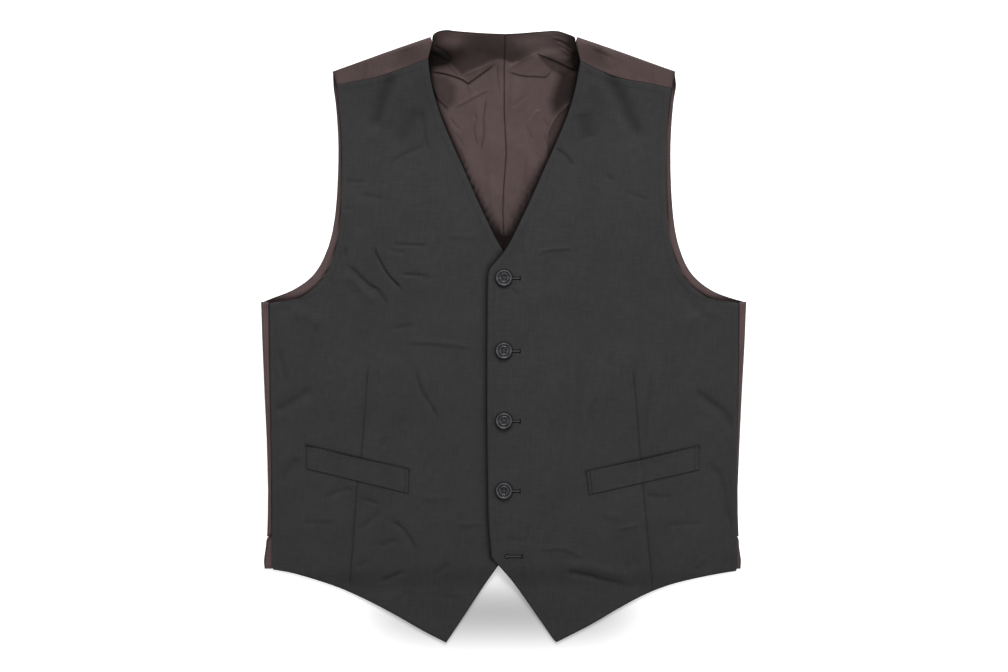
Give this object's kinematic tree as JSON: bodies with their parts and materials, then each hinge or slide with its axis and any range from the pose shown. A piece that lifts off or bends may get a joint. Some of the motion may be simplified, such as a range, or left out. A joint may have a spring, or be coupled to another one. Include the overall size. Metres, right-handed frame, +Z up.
{
  "type": "suit waistcoat laid flat",
  "caption": "Single-breasted V-neck suit waistcoat laid flat and buttoned, with pointed fronts, welt pockets, and a satin back that wraps over the shoulders and sides.",
  "frame": {"origin": "middle of the garment's outline, on the surface it lies on", "axes": "+X to the wearer's left, +Y along the length towards the neck, +Z up from the surface, out of the fronts"},
  "size_m": [0.5312, 0.6685, 0.0143],
  "materials": {
    "charcoal_wool": "matt worsted wool",
    "brown_satin": "soft satin back cloth",
    "brown_lining": "soft satin lining",
    "charcoal_button": "polished, a little worn"
  },
  "bodies": {
    "root": {"front_left": "charcoal_wool", "front_right": "charcoal_wool", "welt_left": "charcoal_wool", "welt_right": "charcoal_wool", "back_left": "brown_satin", "back_right": "brown_satin", "back_lining_left": "brown_lining", "back_lining_right": "brown_lining", "button_1": "charcoal_button", "button_2": "charcoal_button", "button_3": "charcoal_button", "button_4": "charcoal_button"}
  },
  "joints": []
}
